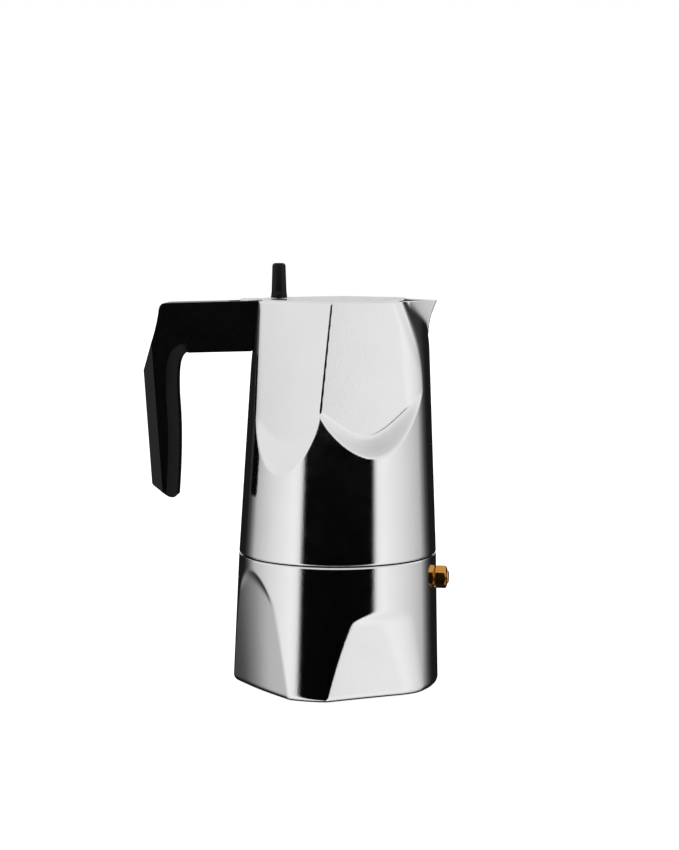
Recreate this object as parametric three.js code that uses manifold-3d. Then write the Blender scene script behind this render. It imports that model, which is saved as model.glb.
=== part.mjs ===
// Stovetop moka pot, in millimetres, +Z up. The origin is the centre of the flat base.
// The spout points along +X and the handle along -X.
import * as THREE from "three";
import { mergeVertices } from "three/addons/utils/BufferGeometryUtils.js";
import { ConvexGeometry } from "three/addons/geometries/ConvexGeometry.js";
import Module from "manifold-3d";

const wasm = await Module();
wasm.setup();

// ---------------------------------------------------------------- driving dimensions
const GAP = 0.3; // clearance between pieces that touch
const BASE_R = 46.7; // outer cone radius at the base
const SEAM_R = 44.7; // outer cone radius where the two halves meet
const RIM_R = 38.8; // outer cone radius at the rim
const SEAM_Z = 59.5; // height of the boiler's shoulder
const RIM_Z = 173.8; // height of the upper chamber's rim
const CONE_TOP_Z = 174.2; // height at which the cone has its rim radius
const LEAN = 0.0155; // sideways lean of the cone per millimetre of height, towards the spout
const BASE_ROUND = 3; // rounding of the base edge
const LOWER_WALL = 3;
const UPPER_WALL = 2.6;
const BIG_SEGMENTS = 72;
const MID_SEGMENTS = 48;
const SMALL_SEGMENTS = 24;

const BOILER_FLOOR_Z = 4;
const BOILER_ROOF_Z = 55.5;
const MOUTH_R = 29; // opening of the boiler
const NECK_R = 34.5; // root of the boiler's outer thread
const NECK_TOP_Z = 72.5;
const COLLAR_R = 36.8; // root of the upper chamber's inner thread
const THREAD_PITCH = 3;
const THREAD_R = 0.9; // half the width of the rounded thread ridge
const THREAD_TURNS = 3;

const GASKET_R = 34.2;
const GASKET_HOLE_R = 27.6;
const GASKET_HEIGHT = 3.5;
const SHEET = 0.8; // sheet thickness of the funnel and the filters
const FUNNEL_RIM_R = 33.4;
const BASKET_R = 28.2; // outside of the basket
const BASKET_FLOOR_Z = 50;
const STEM_R = 4.8; // outside of the funnel's stem
const STEM_TOP_Z = 40;
const STEM_END_Z = 8;
const STEM_COLLAR_Z = 36; // lower end of the basket's collar, which grips the stem

const FLOOR_UNDER_Z = NECK_TOP_Z + GAP + SHEET + GAP + GASKET_HEIGHT + GAP; // gasket's seat
const FLOOR_Z = FLOOR_UNDER_Z + 4.6; // floor of the coffee chamber
const FLOOR_DISH = 1.6; // how far the floor's underside rises towards the column
const COLUMN_TOP_Z = 146;
const COLUMN_BASE_R = 7;
const COLUMN_TOP_R = 5.4;
const COLUMN_BORE_R = 3.8;
const COLUMN_SPIGOT_R = 5.2;

const LID_TOP_Z = 174.3;
const LID_THICKNESS = 1.2;
const LID_INSET = 1.4; // from the outer cone to the edge of the lid
const LID_FRONT_X = 30; // the lid stops short of the spout
const HINGE_X = -41;
const HINGE_Z = 171.4;
const HINGE_PIN_R = 1;
const HINGE_PIN_END_Y = 7; // the pin's blind end; the other end is flush with the handle
const KNUCKLE_R = 1.9;
const TONGUE_WIDTH = 11.4;
const TONGUE_END_X = -43.4;
const TONGUE_SWEEP = 4.2; // room that the tongue's rear corner needs round the hinge

const KNOB_X = -26.4;
const KNOB_BASE_R = 3.75;
const KNOB_TOP_R = 3;
const KNOB_TOP_Z = 190.3;
const KNOB_INSERT_R = 2.2;
const KNOB_SCREW_R = 1.25;
const KNOB_SCREW_HEAD_R = 2.4;

const HANDLE_WIDTH = 18;
const ARM_END_TOP_Z = 173.6;
const ARM_END_UNDER_Z = 151;
const LUG_END_X = -51;
const LUG_WIDTH = 7;
const LUG_LOW_Z = 155.5;
const LUG_HIGH_Z = 165.5;
const HANDLE_SLOT_END_X = -49.1;
const HANDLE_SCREW_X = -45.5;
const HANDLE_SCREW_R = 2;
const HANDLE_SCREW_HEAD_R = 3.5;
const COUNTERBORE_TOP_Z = 152.9;
const GRIP_CHAMFER = 5;

const VALVE_AZIMUTH = 84; // degrees from -Y towards +X
const VALVE_Z = 49.3;
const VALVE_SEAT = 43.6; // distance of the valve's flat seat from the boiler's axis
const VALVE_SPOT_R = 5; // radius of that seat
const VALVE_STEM_R = 2.8;
const VALVE_WASHER_R = 4.2;
const VALVE_STEM_END = 37.5; // inner end of the stem
const VALVE_HEX = 9; // across flats
const VALVE_HEX_FROM = 45;
const VALVE_HEX_TO = 49.9;
const VALVE_BORE_R = 1.9;
const VALVE_CAP_R = 2.95;
const VALVE_END = 50.8;
const PLUNGER_HEAD = 39.5;
const PLUNGER_HEAD_LENGTH = 1.2;
const PLUNGER_R = 0.8;
const SPRING_R = 1.35;
const SPRING_WIRE_R = 0.18;
const SPRING_TURNS = 5;

// A carved facet is the part of the cone that lies outside all of the facet's planes. A plane's
// distance from the axis is `reach` at height `at`, and grows by `slope` per millimetre up. Its
// azimuth is in degrees from -Y towards +X. Each facet has a mirror image on the other side.
const LOWER_FACETS = [
  [{ azimuth: -55.5, reach: 39, at: 0, slope: 0.077 }, runOut(-55.5, 51, 0.33)],
  [{ azimuth: 27, reach: 41.7, at: 0, slope: 0.055 }, runOut(32, 36.5, 0.38)],
];
const UPPER_FACETS = [
  [{ azimuth: -34, reach: 33.4, at: CONE_TOP_Z, slope: -0.079 }, runOut(-33.5, 97.5, -0.35)],
  [{ azimuth: 27.3, reach: 33.6, at: CONE_TOP_Z, slope: 0 }, runOut(22.5, 102, -0.33)],
  [{ azimuth: 69, reach: 32.3, at: CONE_TOP_Z, slope: -0.32 }],
];
const REAR_FLAT = { azimuth: -90, reach: 36, at: CONE_TOP_Z, slope: -0.141 }; // the handle's seat

// ---------------------------------------------------------------- materials
function material(name, color, roughness, metalness) {
  return new THREE.MeshStandardMaterial({ name, color, roughness, metalness });
}

const polished = () => material("polished aluminium", 0xd9dadc, 0.15, 1);
const spun = () => material("spun aluminium", 0xc3c5c8, 0.35, 1);
const plastic = () => material("black plastic", 0x0c0c0d, 0.35, 0);
const brass = () => material("brass", 0xc9862f, 0.3, 1);
const steel = () => material("stainless steel", 0xa8aaad, 0.3, 1);
const rubber = () => material("white rubber", 0xd8d6cf, 0.8, 0);

// ---------------------------------------------------------------- solids and booleans
function toSolid(geometry) {
  const bare = geometry.clone();
  bare.deleteAttribute("normal");
  bare.deleteAttribute("uv");
  const merged = mergeVertices(bare, 1e-4);
  const index = merged.index.array;
  const triangles = [];
  for (let i = 0; i < index.length; i += 3) {
    const [a, b, c] = [index[i], index[i + 1], index[i + 2]];
    if (a !== b && b !== c && c !== a) {
      triangles.push(a, b, c);
    }
  }
  const vertProperties = new Float32Array(merged.attributes.position.array);
  const triVerts = new Uint32Array(triangles);
  return new wasm.Manifold(new wasm.Mesh({ numProp: 3, vertProperties, triVerts }));
}

function toGeometry(solid) {
  const mesh = solid.getMesh();
  const geometry = new THREE.BufferGeometry();
  geometry.setAttribute("position", new THREE.BufferAttribute(mesh.vertProperties, 3));
  geometry.setIndex(new THREE.BufferAttribute(mesh.triVerts, 1));
  geometry.computeVertexNormals();
  return geometry;
}

function cut(solid, ...cutters) {
  return cutters.reduce((rest, cutter) => rest.subtract(cutter), solid);
}

function join(solid, ...others) {
  return others.reduce((whole, other) => whole.add(other), solid);
}

// A profile of [radius, height] corners turned about Z. It closes on itself or on the axis.
function turned(profile, segments) {
  const points = profile.map(([r, z]) => new THREE.Vector2(r, z));
  const onAxis = points[0].x === 0 && points.at(-1).x === 0;
  if (!onAxis) {
    points.push(points[0].clone());
  }
  return new THREE.LatheGeometry(points, segments).rotateX(Math.PI / 2);
}

function rod(radius, low, high, segments = SMALL_SEGMENTS) {
  const profile = [[0, low], [radius, low], [radius, high], [0, high]];
  return turned(profile, segments);
}

function box(low, high) {
  const size = high.map((value, i) => value - low[i]);
  const centre = high.map((value, i) => (value + low[i]) / 2);
  return new THREE.BoxGeometry(...size).translate(...centre);
}

// An outline in the XZ plane, given thickness along Y about the plane y = 0.
function plate(shape, thickness, curveSegments = 6) {
  const settings = { depth: thickness, bevelEnabled: false, curveSegments };
  return new THREE.ExtrudeGeometry(shape, settings).translate(0, 0, -thickness / 2).rotateX(Math.PI / 2);
}

function polygon(corners) {
  return new THREE.Shape(corners.map(([x, y]) => new THREE.Vector2(x, y)));
}

class Helix extends THREE.Curve {
  constructor(radius, pitch, turns, low) {
    super();
    Object.assign(this, { radius, pitch, turns, low });
  }

  getPoint(t, target = new THREE.Vector3()) {
    const angle = t * this.turns * 2 * Math.PI;
    const height = this.low + t * this.turns * this.pitch;
    return target.set(this.radius * Math.cos(angle), this.radius * Math.sin(angle), height);
  }
}

function coil(wireRadius, helix, stepsPerTurn, sides) {
  const section = polygon(
    Array.from({ length: sides }, (_, i) => {
      const angle = (i / sides) * 2 * Math.PI;
      return [wireRadius * Math.cos(angle), wireRadius * Math.sin(angle)];
    })
  );
  const steps = Math.round(helix.turns * stepsPerTurn);
  return new THREE.ExtrudeGeometry(section, { steps, bevelEnabled: false, extrudePath: helix });
}

// ---------------------------------------------------------------- the carved cone
function coneRadius(z) {
  if (z < SEAM_Z) {
    return BASE_R + ((SEAM_R - BASE_R) * z) / SEAM_Z;
  }
  return SEAM_R + ((RIM_R - SEAM_R) * (z - SEAM_Z)) / (CONE_TOP_Z - SEAM_Z);
}

// The plane in which a facet runs out to meet the cone at height `end`.
function runOut(azimuth, end, slope) {
  return { azimuth, reach: coneRadius(end), at: end, slope };
}

function leanAt(z) {
  return LEAN * (z - SEAM_Z);
}

function leaned(geometry) {
  const shear = new THREE.Matrix4().makeShear(0, 0, 0, 0, LEAN, 0);
  return geometry.applyMatrix4(shear).translate(-LEAN * SEAM_Z, 0, 0);
}

// Everything outside a plane that leans away from the axis.
function outsidePlane(plane, inset) {
  const [low, high, far, width] = [-10, 200, 150, 160];
  const reach = (z) => plane.reach - inset + plane.slope * (z - plane.at);
  const corners = [[reach(low), low], [far, low], [far, high], [reach(high), high]];
  const block = plate(polygon(corners), width);
  return toSolid(block.rotateZ(THREE.MathUtils.degToRad(plane.azimuth - 90)));
}

function carve(solid, facets, inset) {
  let rest = solid;
  for (const planes of facets) {
    for (const mirror of [(azimuth) => azimuth, (azimuth) => 180 - azimuth]) {
      const outsides = planes.map((plane) => {
        return outsidePlane({ ...plane, azimuth: mirror(plane.azimuth) }, inset);
      });
      rest = rest.subtract(outsides.reduce((common, outside) => common.intersect(outside)));
    }
  }
  return rest;
}

function leanedSolid(solid) {
  return toSolid(leaned(toGeometry(solid)));
}

// The upper cone between two heights, carved, and set in from the outer surface.
function carvedUpper(inset, low, high) {
  const cone = turned(
    [[0, low], [coneRadius(low) - inset, low], [coneRadius(high) - inset, high], [0, high]],
    BIG_SEGMENTS
  );
  const body = carve(toSolid(cone), UPPER_FACETS, inset);
  return leanedSolid(body.subtract(outsidePlane(REAR_FLAT, inset)));
}

// ---------------------------------------------------------------- boiler
function boilerShell() {
  const rounding = [0, 1, 2, 3].map((i) => {
    const angle = (i / 3) * (Math.PI / 2);
    const r = BASE_R - BASE_ROUND * (1 - Math.sin(angle));
    return [r, BASE_ROUND * (1 - Math.cos(angle))];
  });
  const outline = [[0, 0], ...rounding, [SEAM_R, SEAM_Z - 0.5], [SEAM_R - 0.5, SEAM_Z], [0, SEAM_Z]];
  return leanedSolid(carve(toSolid(turned(outline, BIG_SEGMENTS)), LOWER_FACETS, 0));
}

function boilerCavity() {
  const outline = [
    [0, BOILER_FLOOR_Z],
    [coneRadius(BOILER_FLOOR_Z) - LOWER_WALL - 2, BOILER_FLOOR_Z],
    [coneRadius(BOILER_FLOOR_Z) - LOWER_WALL, BOILER_FLOOR_Z + 2],
    [SEAM_R - LOWER_WALL, BOILER_ROOF_Z - 6],
    [MOUTH_R, BOILER_ROOF_Z],
    [0, BOILER_ROOF_Z],
  ];
  const cavity = carve(toSolid(turned(outline, MID_SEGMENTS)), LOWER_FACETS, LOWER_WALL);
  return cavity.add(toSolid(rod(MOUTH_R, BOILER_ROOF_Z - 1, NECK_TOP_Z + 1, MID_SEGMENTS)));
}

function valveFrame(geometry) {
  const turn = THREE.MathUtils.degToRad(VALVE_AZIMUTH - 90);
  return geometry.rotateY(Math.PI / 2).rotateZ(turn).translate(0, 0, VALVE_Z);
}

function boiler() {
  const neck = toSolid(rod(NECK_R, SEAM_Z - 1, NECK_TOP_Z, MID_SEGMENTS));
  const helix = new Helix(NECK_R, THREAD_PITCH, THREAD_TURNS, SEAM_Z + 2.2);
  const thread = toSolid(coil(THREAD_R, helix, 24, 6));
  const valveSeat = toSolid(valveFrame(rod(VALVE_SPOT_R, VALVE_SEAT, VALVE_SEAT + 6)));
  const valveHole = toSolid(valveFrame(rod(VALVE_STEM_R + GAP, 30, VALVE_SEAT + 6)));
  return cut(join(boilerShell(), neck, thread), boilerCavity(), valveSeat, valveHole);
}

// ---------------------------------------------------------------- safety valve
const WASHER_TO = VALVE_SEAT + 1.1;
const CAP_FROM = VALVE_HEX_TO - 1.6; // inner end of the cap's plug

function valveBody() {
  const hexRadius = VALVE_HEX / Math.sqrt(3);
  const hexagon = new THREE.CylinderGeometry(hexRadius, hexRadius, VALVE_HEX_TO - VALVE_HEX_FROM, 6);
  hexagon.rotateX(Math.PI / 2).rotateZ(Math.PI / 2).translate(0, 0, (VALVE_HEX_TO + VALVE_HEX_FROM) / 2);
  const stem = toSolid(rod(VALVE_STEM_R, VALVE_STEM_END, VALVE_HEX_FROM + 0.5));
  const bore = toSolid(rod(VALVE_BORE_R, PLUNGER_HEAD - GAP, VALVE_HEX_TO + 1));
  const seatHole = toSolid(rod(PLUNGER_R + GAP, VALVE_STEM_END - 1, PLUNGER_HEAD));
  const body = cut(join(stem, toSolid(hexagon)), bore, seatHole);
  return valveFrame(toGeometry(body));
}

function valveWasher() {
  const low = VALVE_SEAT + GAP;
  const [inner, outer] = [VALVE_STEM_R + GAP, VALVE_WASHER_R];
  const ring = [[inner, low], [outer, low], [outer, WASHER_TO], [inner, WASHER_TO]];
  return valveFrame(turned(ring, SMALL_SEGMENTS));
}

function valveCap() {
  const hole = PLUNGER_R + GAP;
  const plugR = VALVE_BORE_R - GAP;
  const outline = [
    [hole, CAP_FROM],
    [plugR, CAP_FROM],
    [plugR, VALVE_HEX_TO + GAP],
    [VALVE_CAP_R, VALVE_HEX_TO + GAP],
    [VALVE_CAP_R, VALVE_END - 0.4],
    [VALVE_CAP_R - 0.4, VALVE_END],
    [hole, VALVE_END],
  ];
  return valveFrame(turned(outline, SMALL_SEGMENTS));
}

function valvePlunger() {
  const headR = VALVE_BORE_R - GAP;
  const headTo = PLUNGER_HEAD + PLUNGER_HEAD_LENGTH;
  const outline = [
    [0, PLUNGER_HEAD],
    [headR, PLUNGER_HEAD],
    [headR, headTo],
    [PLUNGER_R, headTo],
    [PLUNGER_R, VALVE_END - GAP],
    [0, VALVE_END - GAP],
  ];
  return valveFrame(turned(outline, 16));
}

function valveSpring() {
  const clear = SPRING_WIRE_R + 0.27;
  const low = PLUNGER_HEAD + PLUNGER_HEAD_LENGTH + clear;
  const high = CAP_FROM - clear;
  const helix = new Helix(SPRING_R, (high - low) / SPRING_TURNS, SPRING_TURNS, low);
  return valveFrame(coil(SPRING_WIRE_R, helix, 12, 5));
}

// ---------------------------------------------------------------- funnel, strainer, gasket, filter
const FUNNEL_RIM_Z = NECK_TOP_Z + GAP;
const BASKET_IN = BASKET_R - SHEET;

function funnel() {
  const collar = STEM_R + GAP;
  const outline = [
    [collar + SHEET, STEM_COLLAR_Z],
    [collar + SHEET, STEM_TOP_Z],
    [BASKET_R, BASKET_FLOOR_Z],
    [BASKET_R, FUNNEL_RIM_Z],
    [FUNNEL_RIM_R, FUNNEL_RIM_Z],
    [FUNNEL_RIM_R, FUNNEL_RIM_Z + SHEET],
    [BASKET_IN, FUNNEL_RIM_Z + SHEET],
    [BASKET_IN, BASKET_FLOOR_Z + 0.5],
    [collar, STEM_TOP_Z + 0.5],
    [collar, STEM_COLLAR_Z],
  ];
  return turned(outline, MID_SEGMENTS);
}

function funnelStem() {
  const [inner, top] = [STEM_R - SHEET, STEM_TOP_Z + 0.5];
  const outline = [[inner, STEM_END_Z], [STEM_R, STEM_END_Z], [STEM_R, top], [inner, top]];
  return turned(outline, SMALL_SEGMENTS);
}

// A thin disc with rings of holes.
function perforated(radius, low, rings, spacing, holeR) {
  let disc = toSolid(rod(radius, low, low + SHEET, MID_SEGMENTS));
  for (let ring = 0; ring <= rings; ring += 1) {
    const count = Math.max(1, 6 * ring);
    for (let i = 0; i < count; i += 1) {
      const angle = (i / count) * 2 * Math.PI;
      const hole = rod(holeR, low - 1, low + SHEET + 1, 6);
      hole.translate(ring * spacing * Math.cos(angle), ring * spacing * Math.sin(angle), 0);
      disc = disc.subtract(toSolid(hole));
    }
  }
  return toGeometry(disc);
}

function funnelStrainer() {
  return perforated(BASKET_IN - GAP, BASKET_FLOOR_Z + 0.5 + GAP, 3, 6.5, 1);
}

function filterPlate() {
  return perforated(GASKET_HOLE_R - GAP, FLOOR_UNDER_Z - 2.2, 3, 6.5, 1);
}

function gasket() {
  const low = FUNNEL_RIM_Z + SHEET + GAP;
  const high = low + GASKET_HEIGHT;
  const outline = [
    [GASKET_HOLE_R, low],
    [GASKET_R - 0.6, low],
    [GASKET_R, low + 0.6],
    [GASKET_R, high - 0.6],
    [GASKET_R - 0.6, high],
    [GASKET_HOLE_R, high],
  ];
  return turned(outline, MID_SEGMENTS);
}

// ---------------------------------------------------------------- upper chamber
const BEAK_TIP_X = 44.8;
const BEAK_WALL = 3.2; // from the tip to the channel's point
const BEAK_SPREAD = 0.69; // half-width gained per millimetre behind the tip
const BEAK_LOW_Z = 159; // height at which the keel leaves the cone

// The beak and its channel are both wedges that open backwards from a point on the keel.
function wedge(topX, topZ, lowX, lowZ, backX) {
  const corners = [];
  for (const [x, z] of [[topX, topZ], [lowX, lowZ]]) {
    const half = (x - backX) * BEAK_SPREAD;
    corners.push(new THREE.Vector3(x, 0, z));
    corners.push(new THREE.Vector3(backX, half, z), new THREE.Vector3(backX, -half, z));
  }
  return toSolid(new ConvexGeometry(corners));
}

function beak() {
  const keelLow = coneRadius(BEAK_LOW_Z) + leanAt(BEAK_LOW_Z);
  return wedge(BEAK_TIP_X, RIM_Z, keelLow, BEAK_LOW_Z, 32);
}

function beakChannel() {
  return wedge(BEAK_TIP_X - BEAK_WALL, RIM_Z + 1, 37, BEAK_LOW_Z + 2, 27);
}

function rearX(z) {
  return -(REAR_FLAT.reach + REAR_FLAT.slope * (z - REAR_FLAT.at)) + leanAt(z);
}

function upperLug() {
  const rootX = rearX(LUG_HIGH_Z) + 1;
  const half = LUG_WIDTH / 2;
  return toSolid(box([LUG_END_X, -half, LUG_LOW_Z], [rootX, half, LUG_HIGH_Z]));
}

function collarHollow() {
  const low = SEAM_Z - 5;
  const outline = [
    [0, low],
    [COLLAR_R + 1, low],
    [COLLAR_R + 1, SEAM_Z + 1],
    [COLLAR_R, SEAM_Z + 2],
    [COLLAR_R, FLOOR_UNDER_Z],
    [GASKET_HOLE_R - 1, FLOOR_UNDER_Z],
    [COLUMN_BASE_R, FLOOR_UNDER_Z + FLOOR_DISH],
    [0, FLOOR_UNDER_Z + FLOOR_DISH],
  ];
  return toSolid(turned(outline, MID_SEGMENTS));
}

function upperChamber() {
  const outer = join(carvedUpper(0, SEAM_Z + 0.4, RIM_Z), beak(), upperLug());
  const hollow = carvedUpper(UPPER_WALL, FLOOR_Z, RIM_Z + 5);
  const lidSeat = lidBlank(LID_INSET - GAP, LID_TOP_Z - LID_THICKNESS - GAP, LID_TOP_Z + 1);
  const lidSeatClipped = lidSeat.intersect(toSolid(box([-60, -60, 150], [LID_FRONT_X + GAP, 60, 200])));
  const columnHole = toSolid(rod(COLUMN_SPIGOT_R + GAP, FLOOR_UNDER_Z - 1, FLOOR_Z + 1));
  const screwHole = rod(HANDLE_SCREW_R + GAP, LUG_LOW_Z - 1, LUG_HIGH_Z - 2);
  screwHole.translate(HANDLE_SCREW_X, 0, 0);
  const hollows = [collarHollow(), hollow, beakChannel(), lidSeatClipped, columnHole, toSolid(screwHole)];
  const shell = cut(outer, ...hollows);
  const helix = new Helix(COLLAR_R, THREAD_PITCH, THREAD_TURNS, SEAM_Z + 3.7);
  return shell.add(toSolid(coil(THREAD_R, helix, 24, 6)));
}

function coffeeColumn() {
  const outline = [
    [COLUMN_BORE_R, FLOOR_UNDER_Z + 2],
    [COLUMN_SPIGOT_R, FLOOR_UNDER_Z + 2],
    [COLUMN_SPIGOT_R, FLOOR_Z + GAP],
    [COLUMN_BASE_R, FLOOR_Z + GAP],
    [COLUMN_BASE_R, FLOOR_Z + 3],
    [COLUMN_TOP_R, COLUMN_TOP_Z - 2],
    [COLUMN_TOP_R - 0.8, COLUMN_TOP_Z],
    [COLUMN_BORE_R, COLUMN_TOP_Z],
  ];
  const slot = box([-1.6, -10, COLUMN_TOP_Z - 9], [1.6, 10, COLUMN_TOP_Z + 1]);
  return toGeometry(cut(toSolid(turned(outline, SMALL_SEGMENTS)), toSolid(slot)));
}

// ---------------------------------------------------------------- lid, knob, hinge
// The lid's outline follows the carved rim and ends in a straight edge at the rear.
function lidBlank(inset, low, high) {
  const disc = turned(
    [[0, low], [RIM_R - inset, low], [RIM_R - inset, high], [0, high]],
    BIG_SEGMENTS
  );
  const flats = UPPER_FACETS.map(([flat]) => [{ ...flat, slope: 0 }]);
  const rear = { ...REAR_FLAT, slope: 0 };
  const blank = carve(toSolid(disc), flats, inset).subtract(outsidePlane(rear, inset - LID_INSET));
  return toSolid(toGeometry(blank).translate(leanAt(CONE_TOP_Z), 0, 0));
}

function lid() {
  const low = LID_TOP_Z - LID_THICKNESS;
  const half = TONGUE_WIDTH / 2;
  const front = toSolid(box([LID_FRONT_X, -60, low - 1], [60, 60, LID_TOP_Z + 1]));
  const tongue = toSolid(box([TONGUE_END_X, -half, low], [-30, half, LID_TOP_Z]));
  const web = toSolid(box([HINGE_X - KNUCKLE_R, -half, HINGE_Z], [HINGE_X + KNUCKLE_R, half, low + 0.5]));
  const knuckle = toSolid(alongY(rod(KNUCKLE_R, -half, half), HINGE_X, HINGE_Z));
  const pinHole = toSolid(alongY(rod(HINGE_PIN_R + GAP, -20, 20), HINGE_X, HINGE_Z));
  const screwHole = toSolid(rod(KNOB_SCREW_R + GAP, low - 1, LID_TOP_Z + 1).translate(KNOB_X, 0, 0));
  const blank = lidBlank(LID_INSET, low, LID_TOP_Z);
  return toGeometry(cut(join(cut(blank, front), tongue, web, knuckle), pinHole, screwHole));
}

function alongY(geometry, x, z) {
  return geometry.rotateX(Math.PI / 2).translate(x, 0, z);
}

function lidHingePin() {
  return alongY(rod(HINGE_PIN_R, -HANDLE_WIDTH / 2, HINGE_PIN_END_Y, 16), HINGE_X, HINGE_Z);
}

const KNOB_BASE_Z = LID_TOP_Z + GAP;

function knob() {
  const outline = [
    [0, KNOB_TOP_Z],
    [KNOB_TOP_R - 0.7, KNOB_TOP_Z],
    [KNOB_TOP_R - 0.15, KNOB_TOP_Z - 0.3],
    [KNOB_TOP_R, KNOB_TOP_Z - 0.9],
    [KNOB_BASE_R - 0.4, KNOB_BASE_Z + 3],
    [KNOB_BASE_R, KNOB_BASE_Z],
    [KNOB_INSERT_R + GAP, KNOB_BASE_Z],
    [KNOB_INSERT_R + GAP, KNOB_BASE_Z + 9],
    [0, KNOB_BASE_Z + 9],
  ];
  return turned(outline.reverse(), SMALL_SEGMENTS).translate(KNOB_X, 0, 0);
}

function knobInsert() {
  const [low, high] = [KNOB_BASE_Z + 0.4, KNOB_BASE_Z + 8.4];
  const [bore, outer] = [KNOB_SCREW_R + GAP, KNOB_INSERT_R];
  return turned([[bore, low], [outer, low], [outer, high], [bore, high]], 16).translate(KNOB_X, 0, 0);
}

// A slotted screw that points up, with its head at the bottom.
function screw(shaftR, headR, headLow, headHigh, end) {
  const outline = [
    [0, headLow],
    [headR - 0.4, headLow],
    [headR, headLow + 0.4],
    [headR, headHigh],
    [shaftR, headHigh],
    [shaftR, end - 0.5],
    [shaftR - 0.5, end],
    [0, end],
  ];
  const slot = box([-headR - 1, -0.4, headLow - 1], [headR + 1, 0.4, headLow + 0.8]);
  return toGeometry(cut(toSolid(turned(outline, 16)), toSolid(slot)));
}

function knobScrew() {
  const headHigh = LID_TOP_Z - LID_THICKNESS - GAP;
  const blank = screw(KNOB_SCREW_R, KNOB_SCREW_HEAD_R, headHigh - 1.6, headHigh, KNOB_BASE_Z + 7.5);
  return blank.translate(KNOB_X, 0, 0);
}

// ---------------------------------------------------------------- handle
function handleOutline() {
  const shape = new THREE.Shape();
  shape.moveTo(rearX(ARM_END_TOP_Z) - GAP, ARM_END_TOP_Z);
  shape.lineTo(-78, 172.4);
  shape.quadraticCurveTo(-79.2, 172.3, -79.7, 169.5);
  shape.quadraticCurveTo(-80.8, 162.5, -82.7, 156.4);
  shape.lineTo(-87.7, 142);
  shape.lineTo(-84.3, 90.6);
  shape.lineTo(-83.7, 89.7);
  shape.quadraticCurveTo(-78, 86.8, -76.4, 85.2);
  shape.quadraticCurveTo(-74, 83.6, -72.7, 85.3);
  shape.quadraticCurveTo(-70.6, 112, -72.2, 130);
  shape.bezierCurveTo(-72.6, 144, -72, 150, -67, 150.2);
  shape.lineTo(rearX(ARM_END_UNDER_Z) - GAP, ARM_END_UNDER_Z);
  return shape;
}

// A block whose near face takes a 45 degree corner off the grip along an upright edge.
function cornerBlock(x, z, tilt, outward, side) {
  const block = new THREE.BoxGeometry(40, 40, 120).translate(20, 0, 0);
  block.rotateZ(Math.atan2(side, outward));
  block.translate((-outward * GRIP_CHAMFER) / 2, (-side * GRIP_CHAMFER) / 2, 0);
  return toSolid(block.rotateY(tilt).translate(x, (side * HANDLE_WIDTH) / 2, z));
}

function chamferedGrip() {
  const outerTilt = Math.atan2(-87.7 + 84.3, 142 - 90.6);
  const arm = toSolid(box([-100, -20, ARM_END_UNDER_Z - 2], [-20, 20, 200]));
  let grip = toSolid(plate(handleOutline(), HANDLE_WIDTH, 5));
  for (const side of [1, -1]) {
    const outer = cornerBlock(-86, 116.3, outerTilt, -1, side);
    const inner = cornerBlock(-71.6, 110, 0, 1, side);
    grip = cut(grip, outer, inner.subtract(arm));
  }
  return grip;
}

function handle() {
  const pocketHalf = LUG_WIDTH / 2 + GAP;
  const slotHalf = TONGUE_WIDTH / 2 + GAP;
  const pinHole = rod(HINGE_PIN_R + GAP, -HANDLE_WIDTH, HINGE_PIN_END_Y + GAP, 16);
  const screwHole = rod(HANDLE_SCREW_R + GAP, 140, LUG_LOW_Z).translate(HANDLE_SCREW_X, 0, 0);
  const counterbore = rod(HANDLE_SCREW_HEAD_R + GAP, 140, COUNTERBORE_TOP_Z);
  const hollows = [
    box([LUG_END_X - GAP, -pocketHalf, LUG_LOW_Z - GAP], [-30, pocketHalf, LUG_HIGH_Z + GAP]),
    box([HANDLE_SLOT_END_X, -slotHalf, HINGE_Z - TONGUE_SWEEP], [-30, slotHalf, 180]),
    alongY(pinHole, HINGE_X, HINGE_Z),
    screwHole,
    counterbore.translate(HANDLE_SCREW_X, 0, 0),
  ];
  return toGeometry(cut(chamferedGrip(), ...hollows.map(toSolid)));
}

function handleScrew() {
  const headHigh = COUNTERBORE_TOP_Z - GAP;
  const blank = screw(HANDLE_SCREW_R, HANDLE_SCREW_HEAD_R, headHigh - 1.7, headHigh, LUG_HIGH_Z - 3);
  return blank.translate(HANDLE_SCREW_X, 0, 0);
}

// ---------------------------------------------------------------- assembly
const pieces = [
  ["boiler", toGeometry(boiler()), polished()],
  ["valve_body", valveBody(), brass()],
  ["valve_washer", valveWasher(), brass()],
  ["valve_cap", valveCap(), brass()],
  ["valve_plunger", valvePlunger(), steel()],
  ["valve_spring", valveSpring(), steel()],
  ["funnel", funnel(), spun()],
  ["funnel_stem", funnelStem(), spun()],
  ["funnel_strainer", funnelStrainer(), spun()],
  ["gasket", gasket(), rubber()],
  ["filter_plate", filterPlate(), spun()],
  ["upper_chamber", toGeometry(upperChamber()), polished()],
  ["coffee_column", coffeeColumn(), spun()],
  ["lid", lid(), polished()],
  ["lid_hinge_pin", lidHingePin(), steel()],
  ["knob", knob(), plastic()],
  ["knob_insert", knobInsert(), brass()],
  ["knob_screw", knobScrew(), steel()],
  ["handle", handle(), plastic()],
  ["handle_screw", handleScrew(), steel()],
];

const group = new THREE.Group();
for (const [name, geometry, finish] of pieces) {
  const mesh = new THREE.Mesh(geometry, finish);
  mesh.name = name;
  group.add(mesh);
}

export default group;
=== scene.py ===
"""Stovetop moka pot: the fine surfaces, finishes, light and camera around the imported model.

Lengths below are in millimetres and are scaled to metres when a mesh is made. +X is the spout,
-X the handle, +Z up. Azimuths are in degrees from -Y towards +X.
"""

import math  # noqa: E402

import bpy  # noqa: E402
import numpy as np  # noqa: E402
from mathutils import Matrix, Vector  # noqa: E402


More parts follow.
